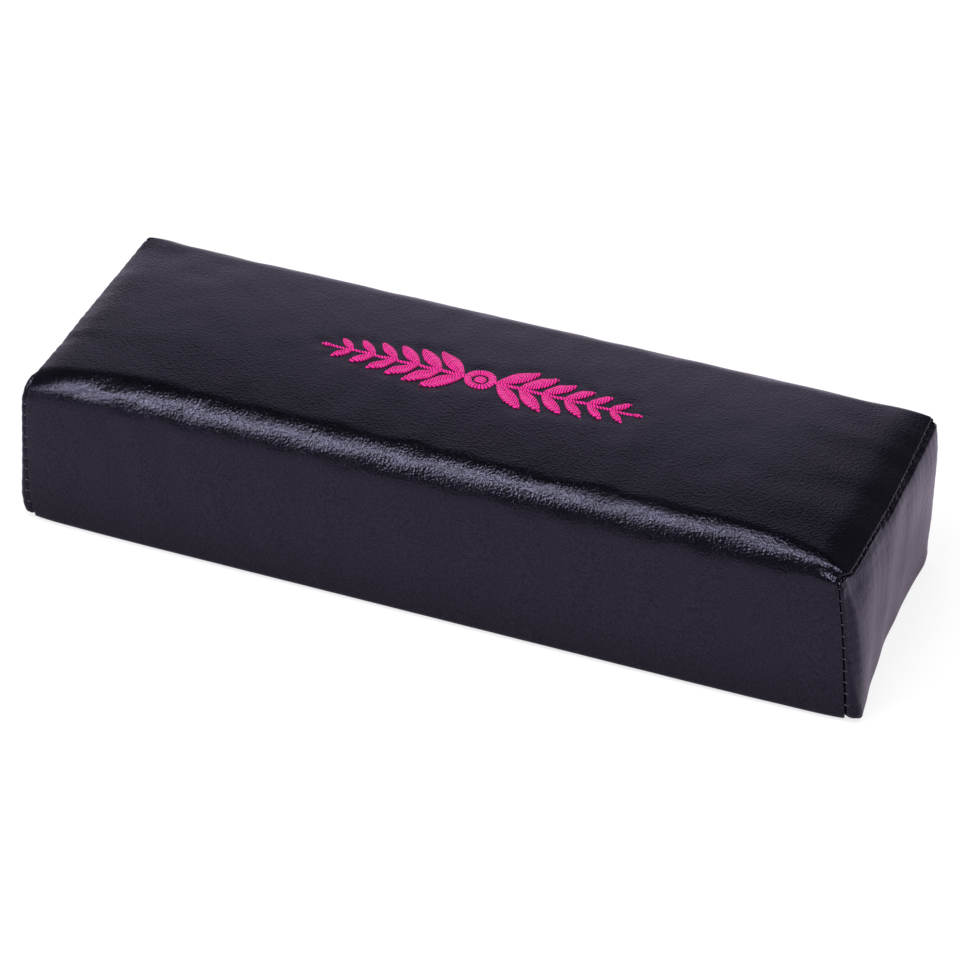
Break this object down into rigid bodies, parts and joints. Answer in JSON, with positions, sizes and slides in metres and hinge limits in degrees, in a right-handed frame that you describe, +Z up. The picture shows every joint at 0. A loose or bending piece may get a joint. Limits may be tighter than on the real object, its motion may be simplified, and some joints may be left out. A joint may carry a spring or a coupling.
{
  "type": "manicure hand rest",
  "caption": "Long low box cushion in black imitation leather for resting the hand during a manicure, with sewn end panels, a board inside and an embroidered garland on top.",
  "frame": {"origin": "on the surface that the rest stands on, under the middle of the cushion", "axes": "+X along the length, +Y from the front face to the back face, +Z up"},
  "size_m": [0.3, 0.1, 0.0668],
  "materials": {
    "leather": "semi-gloss black imitation leather with a fine grain",
    "foam": "open cream foam",
    "board": "raw fibreboard",
    "cloth": "matt black nonwoven",
    "steel": "galvanised wire",
    "thread": "glossy magenta embroidery thread"
  },
  "bodies": {
    "root": {"wrap_cover": "leather", "left_end_panel": "leather", "right_end_panel": "leather", "foam_core": "foam", "base_board": "board", "dust_cloth": "cloth", "embroidered_garland": "thread", "staple_01": "steel", "staple_02": "steel", "staple_03": "steel", "staple_04": "steel", "staple_05": "steel", "staple_06": "steel", "staple_07": "steel", "staple_08": "steel", "staple_09": "steel", "staple_10": "steel", "staple_11": "steel", "staple_12": "steel", "staple_13": "steel", "staple_14": "steel", "staple_15": "steel", "staple_16": "steel", "staple_17": "steel", "staple_18": "steel", "staple_19": "steel", "staple_20": "steel", "staple_21": "steel", "staple_22": "steel"}
  },
  "joints": []
}
